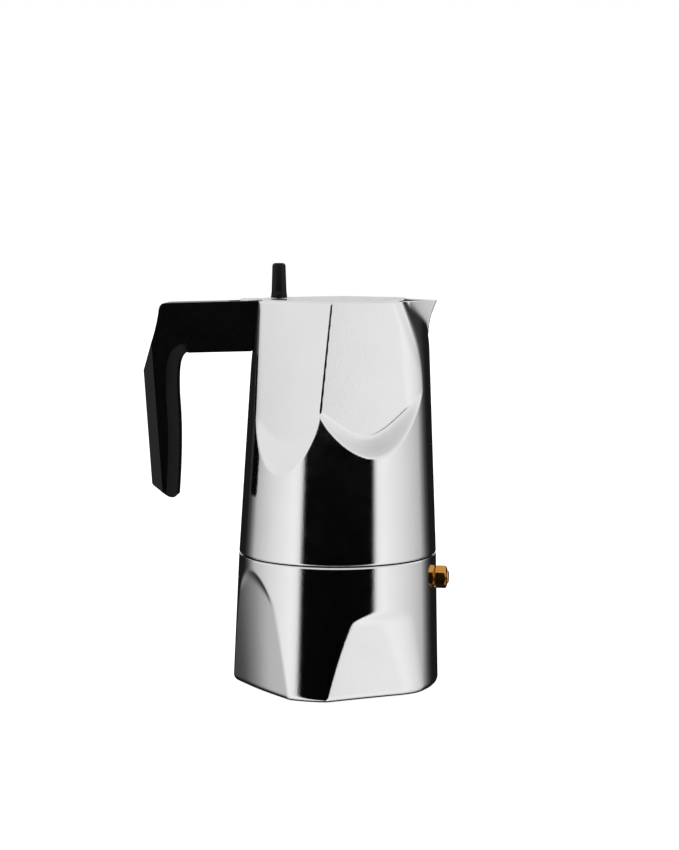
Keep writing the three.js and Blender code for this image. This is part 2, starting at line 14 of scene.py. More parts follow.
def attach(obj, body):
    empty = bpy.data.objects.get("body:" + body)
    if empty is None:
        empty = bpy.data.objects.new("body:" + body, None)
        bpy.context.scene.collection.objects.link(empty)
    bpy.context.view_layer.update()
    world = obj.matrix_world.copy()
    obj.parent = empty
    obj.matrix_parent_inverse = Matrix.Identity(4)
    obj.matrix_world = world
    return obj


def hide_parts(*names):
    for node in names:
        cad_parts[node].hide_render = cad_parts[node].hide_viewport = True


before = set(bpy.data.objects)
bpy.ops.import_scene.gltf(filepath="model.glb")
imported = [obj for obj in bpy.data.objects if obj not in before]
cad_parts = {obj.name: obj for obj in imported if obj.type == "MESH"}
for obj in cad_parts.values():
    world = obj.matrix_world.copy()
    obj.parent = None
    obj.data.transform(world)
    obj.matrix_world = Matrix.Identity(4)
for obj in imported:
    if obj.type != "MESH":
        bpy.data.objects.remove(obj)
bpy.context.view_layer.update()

MM = 0.001

# ---------------------------------------------------------------- driving dimensions
GAP = 0.3
BASE_R = 46.7
SEAM_R = 44.7
RIM_R = 38.8
SEAM_Z = 59.5
RIM_Z = 173.8
CONE_TOP_Z = 174.2
LEAN = 0.0155
LOWER_WALL = 3
UPPER_WALL = 2.6

FOOT_ROUNDING = 3
BOILER_FLOOR_Z = 4
BOILER_ROOF_Z = 55.5
MOUTH_R = 29
NECK_R = 34.5
NECK_TOP_Z = 72.5
COLLAR_R = 36.8
THREAD_PITCH = 3
THREAD_R = 0.9
THREAD_TURNS = 3
THREAD_FADE = 0.06  # of a turn, at each end of a thread

SHEET = 0.8
FUNNEL_RIM_Z = NECK_TOP_Z + GAP
FUNNEL_RIM_R = 33.4
BASKET_R = 28.2
BASKET_FLOOR_Z = 50
STEM_R = 4.8
STEM_TOP_Z = 40
STEM_COLLAR_Z = 36
STEM_END_Z = 8
HOLE_R = 0.6
HOLE_SPACING = 3.1
HOLE_RINGS = 7
GASKET_R = 34.2
GASKET_HOLE_R = 27.6
GASKET_LOW_Z = FUNNEL_RIM_Z + SHEET + GAP
GASKET_HEIGHT = 3.5
FLOOR_UNDER_Z = GASKET_LOW_Z + GASKET_HEIGHT + GAP
FLOOR_Z = FLOOR_UNDER_Z + 4.6
FILTER_Z = FLOOR_UNDER_Z - 2.2
COLLAR_ROOF_Z = FLOOR_UNDER_Z + 1.6
SPIGOT_LOW_Z = FLOOR_UNDER_Z + 2
COLUMN_TOP_Z = 146
COLUMN_BORE_R = 3.8
COLUMN_SPIGOT_R = 5.2
COLUMN_FOOT_R = 7

LID_TOP_Z = 174.3
LID_THICKNESS = 1.2
LID_LOW_Z = LID_TOP_Z - LID_THICKNESS
LID_INSET = 1.4
LID_FRONT_X = 30
HINGE_X = -41
HINGE_Z = 171.4
HINGE_PIN_R = 1
HINGE_PIN_END = 7
KNUCKLE_R = 1.9
TONGUE_HALF = 5.7
TONGUE_END_X = -43.4
TONGUE_ROOT_X = -32
TONGUE_SWEEP = 4.2  # room that the tongue needs round the hinge
KNOB_X = -26.4
KNOB_BASE_Z = LID_TOP_Z + GAP
KNOB_TOP_Z = 190.3
INSERT_R = 2.2
KNOB_SCREW_R = 1.25
KNOB_SCREW_HEAD_R = 2.4

HANDLE_HALF = 9
ARM_TOP_Z = 173.6
ARM_UNDER_Z = 151
SLOT_END_X = -49.1
LUG_END_X = -51
LUG_HALF = 3.5
LUG_LOW_Z = 155.5
LUG_HIGH_Z = 165.5
HANDLE_SCREW_X = -45.5
HANDLE_SCREW_R = 2
HANDLE_SCREW_HEAD_R = 3.5
HANDLE_SCREW_HEAD_Z = 150.9
HANDLE_SCREW_SEAT_Z = 152.6

# Distances along the valve are from the boiler's axis.
VALVE_AZIMUTH = 84
VALVE_Z = 49.3
VALVE_STEM_END = 37.5
VALVE_STEM_R = 2.8
VALVE_BORE_R = 1.9
VALVE_PORT_R = 1.1
VALVE_SEAT = 43.6
VALVE_SPOT_R = 5
VALVE_WASHER_R = 4.2
VALVE_WASHER_TO = VALVE_SEAT + 1.1
VALVE_HEX = 9
VALVE_HEX_FROM = 45
VALVE_CAP_FROM = 49.9
VALVE_CAP_R = 2.95
VALVE_END = 50.8
PLUNGER_HEAD_FROM = 39.5
PLUNGER_HEAD_TO = 40.7
PLUNGER_HEAD_R = 1.6
PLUNGER_R = 0.8

BEAK_AZIMUTH = 39  # of the normal of the beak's near flank
BEAK_LOW_Z = 159
BEAK_REACH = 4.2  # how far the tip stands out of the cone
BEAK_EDGE = 0.8  # how soft the edge along its keel is
BEAK_BLEND = 9  # how softly its flanks run into the cone
CHANNEL_LOW_Z = 161
CHANNEL_KEEL = 35.4  # of the channel inside the beak, at that height
CHANNEL_SLOPE = 0.317

AROUND = 540  # columns round each half's skin


def cone_radius(z):
    if z < SEAM_Z:
        return BASE_R + (SEAM_R - BASE_R) * z / SEAM_Z
    return SEAM_R + (RIM_R - SEAM_R) * (z - SEAM_Z) / (CONE_TOP_Z - SEAM_Z)


def plane(azimuth, reach, at, slope, bulge=0.0, curl=0.0):
    """A flat that lies `reach` from the axis at height `at`, and `slope` further for each mm up.

    Its sides fall back by `bulge`, and its height rises by `curl`, times the square of the distance
    from its middle.
    """
    return {"azimuth": azimuth, "reach": reach, "at": at, "slope": slope, "bulge": bulge, "curl": curl}


def run_out(azimuth, end, slope, curl):
    return plane(azimuth, cone_radius(end), end, slope, curl=curl)


# Each facet: its planes, how much the scoop between them is rounded, and how soft its edge is on
# the handle's side and on the spout's side.
LOWER_FACETS = [
    ([plane(-54, 41, 0, 0.051, bulge=0.0022), run_out(-55, 55, 0.5, -0.025)], 2, (0.35, 0.35)),
    ([plane(27, 40.9, 0, 0.082), run_out(27, 38, 0.9, 0)], 2, (0.5, 3)),
]
UPPER_FACETS = [
    (
        [plane(-34, 33.9, CONE_TOP_Z, -0.08, bulge=0.002), run_out(-34, 99.5, -0.42, 0.022)],
        2.5,
        (1.1, 0.2),
    ),
    ([plane(27.3, 33.6, CONE_TOP_Z, 0), run_out(24.3, 107.5, -1.5, 0.025)], 4, (0.15, 3.6)),
    ([plane(69, 33.8, CONE_TOP_Z, -0.28)], 0, (3, 3)),
]
REAR_FLAT = plane(-90, 36, CONE_TOP_Z, -0.141)


# ---------------------------------------------------------------- smooth surfaces
def smooth_min(a, b, softness):
    blend = np.clip(softness - np.abs(a - b), 0, None)
    return np.minimum(a, b) - blend * blend / np.maximum(4 * softness, 1e-9)


def smooth_max(a, b, softness):
    return -smooth_min(-a, -b, softness)


def radius_to_plane(angles, azimuth, distance):
    """Distance from the axis, in each direction, of a flat that faces `azimuth`."""
    cosine = np.cos(angles - math.radians(azimuth))
    return np.where(cosine > 0.05, distance / np.maximum(cosine, 0.05), 400.0)


def facing(flat, mirror):
    """The azimuth of a flat, or of its mirror image on the far side."""
    return 180 - flat["azimuth"] if mirror else flat["azimuth"]


def flat_radius(flat, mirror, radius, angles, z, inset, level):
    """Distance from the axis, in each direction, of one flat of a facet."""
    azimuth = facing(flat, mirror)
    aside_squared = (radius * np.sin(angles - math.radians(azimuth))) ** 2
    rise = 0 if level else flat["slope"] * (z - flat["at"] - flat["curl"] * aside_squared)
    reach = flat["reach"] + rise - flat["bulge"] * aside_squared - inset
    return radius_to_plane(angles, azimuth, reach)


def carve(radius, angles, z, facets, inset, level=False):
    """Cuts the facets and their mirror images out of a radius.

    A level cut takes only the first flat of each facet, as it is at the rim.
    """
    for planes, scoop, edges in facets:
        for mirror in (False, True):
            flats = planes[:1] if level else planes
            facet = None
            for flat in flats:
                reach = flat_radius(flat, mirror, radius, angles, z, inset, level)
                facet = reach if facet is None else smooth_max(facet, reach, scoop)
            radius = smooth_min(radius, facet, edge_softness(angles, planes[0], mirror, edges))
    return radius


def edge_softness(angles, flat, mirror, edges):
    """Runs from the handle's side of a facet to the spout's side."""
    aside = np.sin(angles - math.radians(facing(flat, mirror))) * (-1 if mirror else 1)
    share = np.clip(0.5 + aside * 2, 0, 1)
    return edges[0] + (edges[1] - edges[0]) * share


def rear_distance(z, inset):
    return REAR_FLAT["reach"] + REAR_FLAT["slope"] * (z - REAR_FLAT["at"]) - inset


def wedge(angles, keel):
    """The two flanks that meet on the keel, in front of the spout."""
    distance = keel * math.sin(math.radians(BEAK_AZIMUTH))
    near = radius_to_plane(angles, BEAK_AZIMUTH, distance)
    far = radius_to_plane(angles, 180 - BEAK_AZIMUTH, distance)
    ahead = np.sin(angles) > 0
    return np.where(ahead, smooth_min(near, far, BEAK_EDGE), 0.0)


def lower_skin(angles, z, inset=0.0):
    radius = np.full_like(angles, cone_radius(z) - inset)
    return carve(radius, angles, z, LOWER_FACETS, inset)


def upper_skin(angles, z):
    cone = cone_radius(z)
    radius = carve(np.full_like(angles, cone), angles, z, UPPER_FACETS, 0)
    radius = smooth_min(radius, radius_to_plane(angles, -90, rear_distance(z, 0)), 0.3)
    climb = (z - BEAK_LOW_Z) / (RIM_Z - BEAK_LOW_Z)
    rise = BEAK_REACH * climb**2 if climb > 0 else 4 * climb
    # Only near the spout, so that the blend leaves no step where the flanks end at the sides.
    near_spout = np.clip((np.sin(angles) - 0.75) / 0.15, 0.002, 1)
    blend = BEAK_BLEND * max(climb, 0.02) * near_spout
    return smooth_max(radius, wedge(angles, cone + rise), blend)


def upper_lining(angles, z):
    radius = np.full_like(angles, cone_radius(z) - UPPER_WALL)
    radius = carve(radius, angles, z, UPPER_FACETS, UPPER_WALL)
    radius = smooth_min(radius, radius_to_plane(angles, -90, rear_distance(z, UPPER_WALL)), 1.5)
    keel = CHANNEL_KEEL + (z - CHANNEL_LOW_Z) * CHANNEL_SLOPE
    return smooth_max(radius, wedge(angles, keel), 1.5)


def lid_radius(angles, inset, front_x):
    """The lid's outline about the leaned axis: the carved rim, a straight rear and a cut front."""
    radius = np.full_like(angles, RIM_R - inset)
    radius = carve(radius, angles, CONE_TOP_Z, UPPER_FACETS, inset, level=True)
    radius = np.minimum(radius, radius_to_plane(angles, -90, REAR_FLAT["reach"] - inset + LID_INSET))
    return np.minimum(radius, radius_to_plane(angles, 90, front_x - lean_at(CONE_TOP_Z)))


def lean_at(z):
    return LEAN * (z - SEAM_Z)


def thread_ridge(angles, z, low):
    """How far a rounded screw thread stands out of its root."""
    turn = np.mod(angles / (2 * math.pi) - 0.25, 1)
    ridge = np.zeros_like(angles)
    for lap in range(THREAD_TURNS):
        along = turn + lap
        offset = z - low - THREAD_PITCH * along
        fade = np.clip(np.minimum(along, THREAD_TURNS - along) / THREAD_FADE, 0, 1)
        half = THREAD_R * np.clip(1 - (offset / THREAD_R) ** 2, 0, 1) ** 0.5
        ridge = np.maximum(ridge, half * fade)
    return ridge


# ---------------------------------------------------------------- meshes
OUTSIDE, INSIDE = 0, 1  # material zones


def around(count=AROUND):
    return np.arange(count) / count * 2 * math.pi


def span(low, high, step):
    return np.linspace(low, high, max(2, round(abs(high - low) / step) + 1)).tolist()


def new_object(name, points, faces, zones=None):
    """A smooth-shaded object from points in millimetres."""
    mesh = bpy.data.meshes.new(name)
    mesh.from_pydata((np.asarray(points, float) * MM).tolist(), [], faces)
    mesh.polygons.foreach_set("use_smooth", [True] * len(mesh.polygons))
    if zones is not None:
        mesh.polygons.foreach_set("material_index", zones)
    mesh.update()
    obj = bpy.data.objects.new(name, mesh)
    bpy.context.scene.collection.objects.link(obj)
    return obj


def grid_object(name, rings, closed, zones=None):
    """A mesh through rings of points. A first or last ring of one point closes the mesh there."""
    zones = zones or [OUTSIDE] * len(rings)
    points, starts = [], []
    for ring in rings:
        starts.append(len(points))
        points.extend(ring)
    count = max(len(ring) for ring in rings)
    faces, face_zones = [], []
    last = len(rings) if closed else len(rings) - 1
    for j in range(last):
        k = (j + 1) % len(rings)
        a, b = starts[j], starts[k]
        for i in range(count):
            n = (i + 1) % count
            if len(rings[j]) == 1:
                faces.append((a, b + n, b + i))
            elif len(rings[k]) == 1:
                faces.append((a + i, a + n, b))
            else:
                faces.append((a + i, a + n, b + n, b + i))
            face_zones.append(zones[j])
    return new_object(name, points, faces, face_zones)


def ring_at(radius, z, angles, shift=0.0):
    """A ring of points round an axis that is shifted along X, or one point where it has no radius."""
    if np.max(radius) == 0:
        return [(shift, 0.0, z)]
    x = radius * np.sin(angles) + shift
    return np.column_stack([x, -radius * np.cos(angles), np.full_like(x, z)]).tolist()


def skin_object(name, rows, closed):
    """Rows of (radius, height, whether it leans with the cone, zone, whether its edge is sharp)."""
    angles = around()
    rings = []
    for radius, z, leaned, _, _ in rows:
        rings.append(ring_at(radius, z, angles, lean_at(z) if leaned else 0.0))
    obj = grid_object(name, rings, closed, [row[3] for row in rows])
    sharpen_rings(obj, rings, [row[4] for row in rows])
    return obj


def sharpen_rings(obj, rings, sharp):
    """Marks the edges that lie within a sharp ring."""
    owner = np.concatenate([[j] * len(ring) for j, ring in enumerate(rings)]).astype(int)
    flags = np.asarray(sharp, bool)
    mesh = obj.data
    ends = np.zeros(len(mesh.edges) * 2, int)
    mesh.edges.foreach_get("vertices", ends)
    ends = owner[ends.reshape(-1, 2)]
    mesh.edges.foreach_set("use_edge_sharp", (ends[:, 0] == ends[:, 1]) & flags[ends[:, 0]])


def soften(profile, radius, closed=True, steps=3):
    """Rounds each corner of a profile of [radius, height] points."""
    points = [Vector(p) for p in profile]
    count = len(points)
    result = []
    for i, corner in enumerate(points):
        if not closed and i in (0, count - 1):
            result.append(tuple(corner))
            continue
        before = points[i - 1] - corner
        after = points[(i + 1) % count] - corner
        reach = min(radius, before.length * 0.45, after.length * 0.45)
        start = corner + before.normalized() * reach
        end = corner + after.normalized() * reach
        for step in range(steps + 1):
            t = step / steps
            result.append(tuple(start * (1 - t) ** 2 + corner * 2 * t * (1 - t) + end * t**2))
    return result


def turned(name, profile, count=96, rounding=0.25, place=None, closed=False):
    """A profile turned about an axis. An open profile starts and ends on the axis."""
    outline = soften(profile, rounding, closed)
    angles = around(count)
    obj = grid_object(name, [ring_at(r, z, angles) for r, z in outline], closed)
    if place is not None:
        obj.data.transform(place)
    sharpen(obj)
    return obj


def sharpen(obj, angle=32):
    obj.data.set_sharp_from_angle(angle=math.radians(angle))


def prism(name, outline, low, high):
    """An outline in the XZ plane with thickness along Y."""
    count = len(outline)
    points = [(x, low, z) for x, z in outline] + [(x, high, z) for x, z in outline]
    faces = [tuple(range(count)), tuple(range(2 * count - 1, count - 1, -1))]
    for i in range(count):
        n = (i + 1) % count
        faces.append((i, i + count, n + count, n))
    return facing_out(new_object(name, points, faces))


def facing_out(obj):
    """Turns every face outwards."""
    volume = 0.0
    mesh = obj.data
    mesh.calc_loop_triangles()
    for triangle in mesh.loop_triangles:
        a, b, c = (mesh.vertices[v].co for v in triangle.vertices)
        volume += a.dot(b.cross(c))
    if volume < 0:
        mesh.flip_normals()
    return obj


def block(name, low, high):
    outline = [(low[0], low[2]), (high[0], low[2]), (high[0], high[2]), (low[0], high[2])]
    return prism(name, outline, low[1], high[1])


def rod(name, radius, low, high, count=48, place=None):
    profile = [(0, low), (radius, low), (radius, high), (0, high)]
    return turned(name, profile, count, 0, place)


def bake(obj):
    """Turns the object's modifiers into its mesh."""
    graph = bpy.context.evaluated_depsgraph_get()
    mesh = bpy.data.meshes.new_from_object(obj.evaluated_get(graph))
    obj.modifiers.clear()
    old = obj.data
    obj.data = mesh
    bpy.data.meshes.remove(old)
    mesh.name = obj.name
    return obj


def combine(obj, others, operation):
    """Joins the other solids to this one, or cuts them out of it, and removes them."""
    for other in others:
        modifier = obj.modifiers.new(operation, "BOOLEAN")
        modifier.operation = operation
        modifier.solver = "MANIFOLD"
        modifier.object = other
        bake(obj)
        bpy.data.objects.remove(other)
    return obj


def cut(obj, *others):
    return combine(obj, others, "DIFFERENCE")


def join(obj, *others):
    return combine(obj, others, "UNION")


def rounded_edges(obj, width, segments=3, angle=28):
    modifier = obj.modifiers.new("edges", "BEVEL")
    modifier.width = width * MM
    modifier.segments = segments
    modifier.limit_method = "ANGLE"
    modifier.angle_limit = math.radians(angle)
    modifier.harden_normals = True
    modifier.use_clamp_overlap = True
    bake(obj)
    return obj


def along_y(x, z):
    return Matrix.Translation(Vector((x, 0, z)) * MM) @ Matrix.Rotation(math.pi / 2, 4, "X")


def upright(x):
    return Matrix.Translation(Vector((x, 0, 0)) * MM)


def valve_place():
    """Lays a piece that was made along +Z on the valve's axis, from the boiler's axis outwards."""
    turn = Matrix.Rotation(math.radians(VALVE_AZIMUTH - 90), 4, "Z")
    lay = Matrix.Rotation(math.pi / 2, 4, "Y")
    return Matrix.Translation((0, 0, VALVE_Z * MM)) @ turn @ lay


# ---------------------------------------------------------------- boiler
def quarter_round(wall, floor_z, radius, steps):
    """Radii and heights of the rounded corner from a floor up to a wall."""
    rows = []
    for angle in np.radians(np.linspace(-90, 0, steps + 1)):
        reach = wall - radius + radius * math.cos(angle)
        rows.append((reach, floor_z + radius + radius * math.sin(angle)))
    return rows


def skin_row(radius, z):
    """A row of the outside, which leans with the cone."""
    return radius, z, True, OUTSIDE, False


def inner_row(radius, z, leaned=False, sharp=False):
    """A row of the inside or of a thread."""
    return radius, z, leaned, INSIDE, sharp


def boiler():
    angles = around()
    rows = [skin_row(r, 0.0) for r in (0.0, 10, 25, 36)]
    foot = lower_skin(angles, FOOT_ROUNDING)
    rows += [skin_row(r, z) for r, z in quarter_round(foot, 0, FOOT_ROUNDING, 7)]
    rows += [skin_row(lower_skin(angles, z), z) for z in span(FOOT_ROUNDING + 0.8, SEAM_Z - 0.7, 0.8)]
    shoulder = lower_skin(angles, SEAM_Z)
    for inset, drop in ((0.05, 0.35), (0.3, 0.06), (0.5, 0.0)):
        rows.append(skin_row(shoulder - inset, SEAM_Z - drop))
    rows.append(inner_row(38.0, SEAM_Z, leaned=True))
    rows += boiler_neck(angles) + boiler_cavity(angles)
    pot = skin_object("boiler_body", rows, closed=False)
    seat = rod("seat", VALVE_SPOT_R, VALVE_SEAT, VALVE_SEAT + 6, 64, valve_place())
    hole = rod("hole", VALVE_STEM_R + GAP, 30, VALVE_SEAT + 6, 64, valve_place())
    return cut(pot, seat, hole)


def boiler_neck(angles):
    rows = [inner_row(NECK_R + 0.8, SEAM_Z), inner_row(NECK_R + 0.2, SEAM_Z + 0.25)]
    for z in span(SEAM_Z + 0.8, NECK_TOP_Z - 0.8, 0.36):
        rows.append(inner_row(NECK_R + thread_ridge(angles, z, SEAM_Z + 2.2), z))
    rim = [(NECK_R, NECK_TOP_Z - 0.6), (NECK_R - 0.6, NECK_TOP_Z)]
    rim += [(MOUTH_R + 0.4, NECK_TOP_Z), (MOUTH_R, NECK_TOP_Z - 0.4)]
    return rows + [inner_row(r, z, sharp=True) for r, z in rim]


def boiler_cavity(angles):
    rows = [inner_row(MOUTH_R, z) for z in (66, BOILER_ROOF_Z + 1.2)]
    rows.append(inner_row(MOUTH_R + 0.5, BOILER_ROOF_Z))
    roof_edge = SEAM_R - LOWER_WALL
    for step in (0.25, 0.5, 0.75):
        z = BOILER_ROOF_Z - 6 * step**2
        reach = MOUTH_R + (roof_edge - MOUTH_R) * step
        rows.append(inner_row(np.minimum(reach, lower_skin(angles, z, LOWER_WALL)), z))
    rounding = 4
    for z in span(BOILER_ROOF_Z - 6, BOILER_FLOOR_Z + rounding, 3):
        rows.append(inner_row(lower_skin(angles, z, LOWER_WALL), z))
    foot = lower_skin(angles, BOILER_FLOOR_Z + rounding, LOWER_WALL)
    corner = quarter_round(foot, BOILER_FLOOR_Z, rounding, 5)
    rows += [inner_row(r, z) for r, z in reversed(corner[:-1])]
    return rows + [inner_row(r, BOILER_FLOOR_Z) for r in (28, 14, 0.0)]


# ---------------------------------------------------------------- upper chamber
def upper_chamber():
    angles = around()
    low = SEAM_Z + 0.4
    first = upper_skin(angles, low)
    rows = []
    for inset, rise in ((1.1, 0), (0.6, 0.15), (0.1, 0.6)):
        rows.append(skin_row(first - inset, low + rise))
    rows += [skin_row(upper_skin(angles, z), z) for z in span(low + 1, RIM_Z - 0.5, 0.7)]
    rows += chamber_rim(angles) + chamber_inside(angles) + chamber_collar(angles)
    chamber = skin_object("chamber_body", rows, closed=True)
    lug = block("lug", (LUG_END_X, -LUG_HALF, LUG_LOW_Z), (-34.6, LUG_HALF, LUG_HIGH_Z))
    hole_r = HANDLE_SCREW_R + GAP
    screw_hole = rod("hole", hole_r, LUG_LOW_Z - 1, LUG_HIGH_Z - 2, 32, upright(HANDLE_SCREW_X))
    return cut(join(chamber, rounded_edges(lug, 0.5)), screw_hole)


def chamber_rim(angles):
    outer = upper_skin(angles, RIM_Z)
    inner = upper_lining(angles, RIM_Z)
    seat = np.maximum(lid_radius(angles, LID_INSET - GAP, LID_FRONT_X + GAP), inner)
    seat_z = LID_LOW_Z - GAP
    rows = []
    for inset, drop in ((0.03, 0.25), (0.12, 0.08), (0.3, 0)):
        rows.append(skin_row(outer - inset, RIM_Z - drop))
    rows.append(skin_row(seat + 0.1, RIM_Z))
    for radius, z in ((seat, RIM_Z - 0.1), (seat, seat_z), (inner + 0.1, seat_z)):
        rows.append(inner_row(radius, z, leaned=True, sharp=True))
    return rows


def chamber_inside(angles):
    rounding = 5
    rows = []
    for z in [LID_LOW_Z - GAP - 0.15, *span(RIM_Z - 2.5, FLOOR_Z + rounding, 2.6)]:
        rows.append(inner_row(upper_lining(angles, z), z, leaned=True))
    corner = quarter_round(upper_lining(angles, FLOOR_Z + rounding), FLOOR_Z, rounding, 6)
    rows += [inner_row(r, z, leaned=True) for r, z in reversed(corner[:-1])]
    rows += [inner_row(r, FLOOR_Z) for r in (26, 18, 10)]
    hole = COLUMN_SPIGOT_R + GAP
    return rows + [inner_row(hole, z, sharp=True) for z in (FLOOR_Z, COLLAR_ROOF_Z)]


def chamber_collar(angles):
    rows = [inner_row(r, COLLAR_ROOF_Z) for r in (7, 9)]
    rows.append(inner_row(GASKET_HOLE_R - 1, FLOOR_UNDER_Z, sharp=True))
    rows.append(inner_row(COLLAR_R - 0.3, FLOOR_UNDER_Z))
    rows.append(inner_row(COLLAR_R, FLOOR_UNDER_Z - 0.3))
    for z in span(FLOOR_UNDER_Z - 1, SEAM_Z + 2.4, 0.45):
        rows.append(inner_row(COLLAR_R - thread_ridge(angles, z, SEAM_Z + 3.7), z))
    mouth = [(COLLAR_R, SEAM_Z + 2), (COLLAR_R + 1, SEAM_Z + 1), (COLLAR_R + 1, SEAM_Z + 0.4)]
    return rows + [inner_row(r, z, sharp=True) for r, z in mouth]


# ---------------------------------------------------------------- safety valve
def valve_body():
    """A hexagon with chamfered corners on a stem."""
    low, high, stem_r = VALVE_HEX_FROM, VALVE_CAP_FROM, VALVE_STEM_R
    angles = around(144)
    sixth = math.pi / 3
    off_flat = np.mod(angles + sixth / 2, sixth) - sixth / 2
    hexagon = VALVE_HEX / 2 / np.cos(off_flat)
    stem = [(stem_r - 0.6, VALVE_STEM_END), (stem_r, VALVE_STEM_END + 0.6), (stem_r, low)]
    rings = [ring_at(r, z, angles) for r, z in stem]
    for z in span(low, high, 0.12):
        chamfer = VALVE_HEX / 2 - 0.05 + min(z - low, high - z) * 1.5
        rings.append(ring_at(smooth_min(hexagon, chamfer, 0.08), z, angles))
    bore_end = PLUNGER_HEAD_FROM - GAP
    bore = [(VALVE_BORE_R, high), (VALVE_BORE_R, bore_end)]
    bore += [(VALVE_PORT_R, bore_end), (VALVE_PORT_R, VALVE_STEM_END)]
    rings += [ring_at(r, z, angles) for r, z in bore]
    body = grid_object("valve_hexagon", rings, True)
    body.data.transform(valve_place())
    sharpen(body, 24)
    return body


def valve_washer():
    inner, outer = VALVE_STEM_R + GAP, VALVE_WASHER_R
    low, high = VALVE_SEAT + GAP, VALVE_WASHER_TO
    profile = [(inner, low), (outer, low), (outer, high), (inner, high)]
    return turned("valve_sealing_ring", profile, 72, 0.15, valve_place(), closed=True)


def valve_cap():
    hole, plug = PLUNGER_R + GAP, VALVE_BORE_R - GAP
    low, face = VALVE_CAP_FROM - 1.6, VALVE_CAP_FROM + GAP
    profile = [(hole, low), (plug, low), (plug, face), (VALVE_CAP_R, face)]
    profile += [(VALVE_CAP_R, VALVE_END - 0.3), (VALVE_CAP_R - 0.35, VALVE_END), (hole, VALVE_END)]
    return turned("valve_end_boss", profile, 72, 0.12, valve_place(), closed=True)


def valve_plunger():
    profile = [(0, PLUNGER_HEAD_FROM), (PLUNGER_HEAD_R, PLUNGER_HEAD_FROM)]
    profile += [(PLUNGER_HEAD_R, PLUNGER_HEAD_TO), (PLUNGER_R, PLUNGER_HEAD_TO)]
    profile += [(PLUNGER_R, VALVE_END - GAP), (0, VALVE_END - GAP)]
    return turned("valve_pin", profile, 48, 0.15, valve_place())


# ---------------------------------------------------------------- funnel, gasket, filter
def funnel():
    """The basket, with the collar that grips its stem."""
    inner = STEM_R + GAP
    outer = inner + SHEET
    top = FUNNEL_RIM_Z + SHEET
    profile = [(outer, STEM_COLLAR_Z), (outer, STEM_TOP_Z), (BASKET_R, BASKET_FLOOR_Z)]
    profile += [(BASKET_R, FUNNEL_RIM_Z), (FUNNEL_RIM_R, FUNNEL_RIM_Z), (FUNNEL_RIM_R, top)]
    profile += [(BASKET_R - SHEET, top), (BASKET_R - SHEET, BASKET_FLOOR_Z + 0.5)]
    profile += [(inner, STEM_TOP_Z + 0.5), (inner, STEM_COLLAR_Z)]
    return turned("funnel_basket", profile, 180, 0.3, closed=True)


def funnel_stem():
    inner, top = STEM_R - SHEET, STEM_TOP_Z + 0.5
    profile = [(inner, STEM_END_Z), (STEM_R, STEM_END_Z), (STEM_R, top), (inner, top)]
    return turned("funnel_tube", profile, 96, 0.2, closed=True)


def perforated(name, radius, low):
    """A disc with rings of small holes, six more in each ring."""
    disc = turned(name, [(0, low), (radius, low), (radius, low + SHEET), (0, low + SHEET)], 144, 0.15)
    points, faces = [], []
    for ring in range(HOLE_RINGS + 1):
        count = max(1, 6 * ring)
        for i in range(count):
            x, y = on_circle(ring * HOLE_SPACING, i / count)
            add_pin(points, faces, x, y, low - 1, low + SHEET + 1)
    holes = new_object("holes", points, faces)
    return cut(disc, holes)


def on_circle(radius, turn):
    return radius * math.cos(turn * 2 * math.pi), radius * math.sin(turn * 2 * math.pi)


def add_pin(points, faces, centre_x, centre_y, low, high, sides=10):
    start = len(points)
    for z in (low, high):
        for i in range(sides):
            x, y = on_circle(HOLE_R, i / sides)
            points.append((centre_x + x, centre_y + y, z))
    for i in range(sides):
        n = (i + 1) % sides
        faces.append((start + i, start + n, start + sides + n, start + sides + i))
    faces.append(tuple(start + i for i in reversed(range(sides))))
    faces.append(tuple(start + sides + i for i in range(sides)))


def strainer():
    return perforated("strainer_disc", BASKET_R - SHEET - GAP, BASKET_FLOOR_Z + 0.5 + GAP)


def filter_plate():
    return perforated("filter_disc", GASKET_HOLE_R - GAP, FILTER_Z)


def gasket():
    low, high = GASKET_LOW_Z, GASKET_LOW_Z + GASKET_HEIGHT
    profile = [(GASKET_HOLE_R, low), (GASKET_R, low), (GASKET_R, high), (GASKET_HOLE_R, high)]
    return turned("sealing_gasket", profile, 180, 0.7, closed=True)


def coffee_column():
    profile = [(COLUMN_BORE_R, SPIGOT_LOW_Z), (COLUMN_SPIGOT_R, SPIGOT_LOW_Z)]
    profile += [(COLUMN_SPIGOT_R, FLOOR_Z + GAP), (COLUMN_FOOT_R, FLOOR_Z + GAP)]
    profile += [(COLUMN_FOOT_R, FLOOR_Z + 3), (5.4, COLUMN_TOP_Z - 2)]
    profile += [(4.6, COLUMN_TOP_Z), (COLUMN_BORE_R, COLUMN_TOP_Z)]
    column = turned("column_tube", profile, 96, 0.4, closed=True)
    slot = block("slot", (-1.6, -10, COLUMN_TOP_Z - 9), (1.6, 10, COLUMN_TOP_Z + 1))
    return cut(column, slot)


